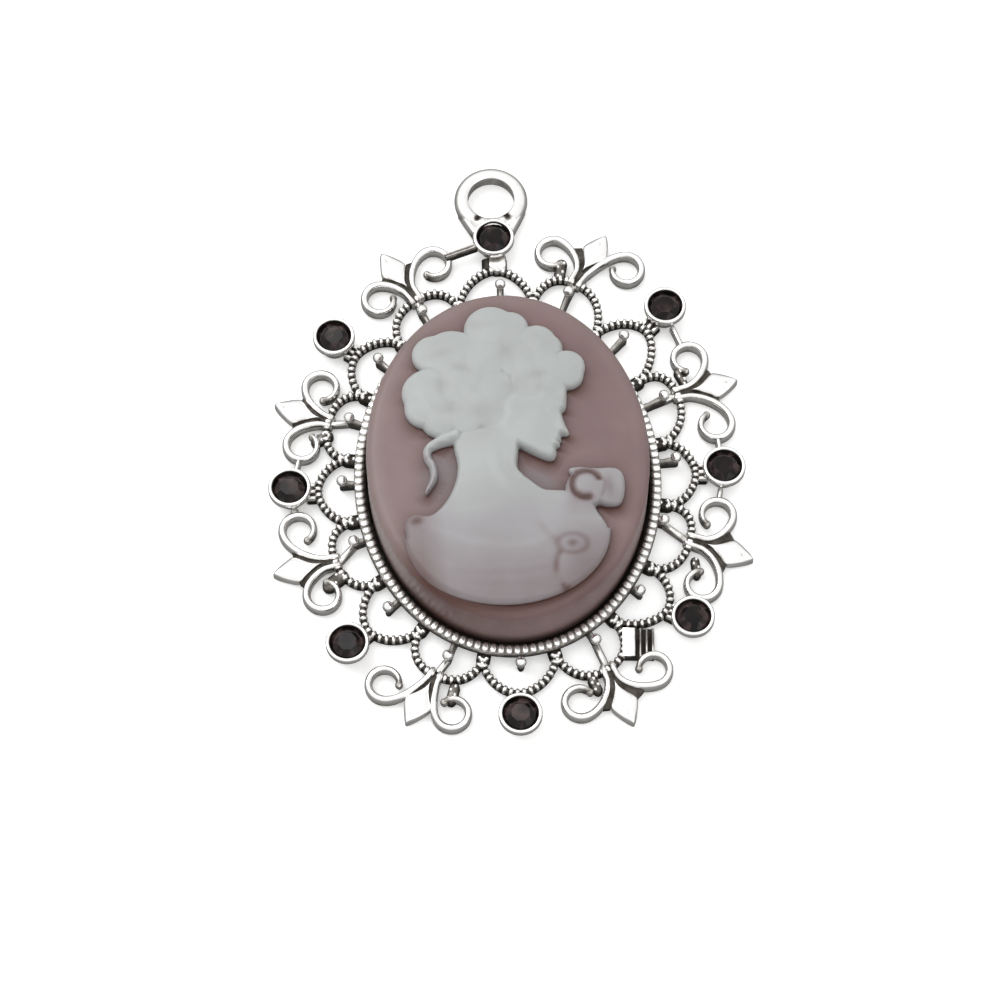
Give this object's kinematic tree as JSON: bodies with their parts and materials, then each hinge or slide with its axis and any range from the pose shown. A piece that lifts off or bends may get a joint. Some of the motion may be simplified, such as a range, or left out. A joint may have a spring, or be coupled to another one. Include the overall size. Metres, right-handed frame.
{
  "type": "cameo pendant",
  "caption": "Oval portrait cameo with a raised profile bust, seated in an antique-silver filigree frame of beaded arches and fleurs-de-lis, with dark stones in cups and a hanging loop",
  "frame": {"origin": "centre of the flat back of the tray", "axes": "+Z towards the viewer, out of the cameo's face; +Y up towards the hanging loop; +X to the right seen from the front"},
  "size_m": [0.0516, 0.0683, 0.0108],
  "materials": {
    "antique_silver": "bright antique silver plate on cast zinc alloy, blackened in its recesses",
    "mauve_resin": "smooth satin translucent brown-mauve resin",
    "pale_resin": "satin milky white resin, thin and pinkish at its lower edge",
    "dark_stone": "polished faceted black glass"
  },
  "bodies": {
    "root": {"frame": "antique_silver", "cameo_base": "mauve_resin", "cameo_relief": "pale_resin", "stone_right": "dark_stone", "stone_upper_right": "dark_stone", "stone_top": "dark_stone", "stone_upper_left": "dark_stone", "stone_left": "dark_stone", "stone_lower_left": "dark_stone", "stone_bottom": "dark_stone", "stone_lower_right": "dark_stone"}
  },
  "joints": []
}
